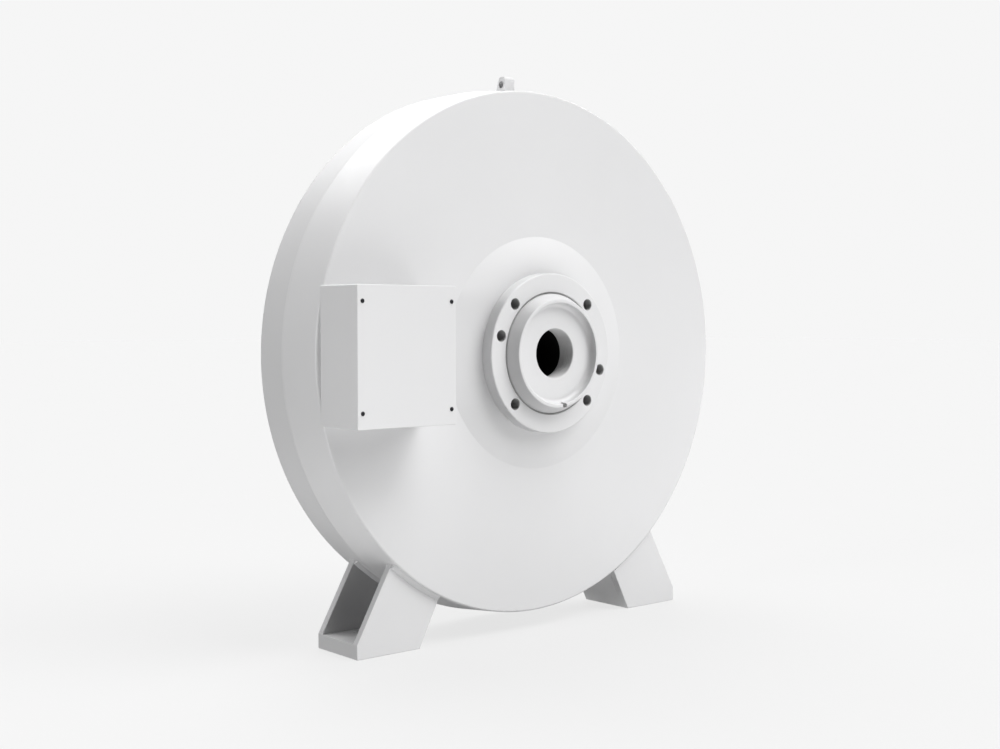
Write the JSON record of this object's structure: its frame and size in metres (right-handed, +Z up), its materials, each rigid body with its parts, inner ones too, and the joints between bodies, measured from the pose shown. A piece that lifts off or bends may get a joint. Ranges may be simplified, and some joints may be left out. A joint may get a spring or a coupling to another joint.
{
  "type": "permanent magnet synchronous motor",
  "caption": "Disc-shaped permanent magnet motor: flared drum housing on fabricated feet, flanged bearing boss with a hollow shaft end, terminal box on the front face and lifting lug on top.",
  "frame": {"origin": "on the floor, at the centre of the four hold-down holes in the feet", "axes": "+Z up, +Y along the shaft from the shaft end to the closed back, +X to the right seen from the shaft end"},
  "size_m": [0.8968, 0.2925, 0.946],
  "materials": {
    "housing_paint": "satin white paint",
    "foot_paint": "satin white paint on rolled plate",
    "box_paint": "fine white powder coat",
    "shaft_paint": "white coat over turned steel",
    "seal_rubber": "matte black"
  },
  "bodies": {
    "housing": {"housing_drum": "housing_paint", "front_end_plate": "housing_paint", "rear_ring": "housing_paint", "rear_end_plate": "housing_paint", "front_bearing_housing": "housing_paint", "front_bearing_cap": "housing_paint", "rear_bearing_housing": "housing_paint", "rear_bearing_cap": "housing_paint", "lifting_lug": "housing_paint", "shaft_seal": "seal_rubber", "terminal_box_body": "box_paint", "terminal_box_cover": "box_paint", "terminal_box_gland_plate": "box_paint", "left_foot_base_plate": "foot_paint", "left_foot_front_plate": "foot_paint", "left_foot_rear_plate": "foot_paint", "left_foot_web": "foot_paint", "right_foot_base_plate": "foot_paint", "right_foot_front_plate": "foot_paint", "right_foot_rear_plate": "foot_paint", "right_foot_web": "foot_paint"},
    "shaft": {"shaft": "shaft_paint"}
  },
  "joints": [
    {"name": "shaft_turn", "type": "hinge", "parent": "housing", "child": "shaft", "pos_m": [0, -0.098, 0.472], "axis": [0, -1, 0], "continuous": true}
  ]
}
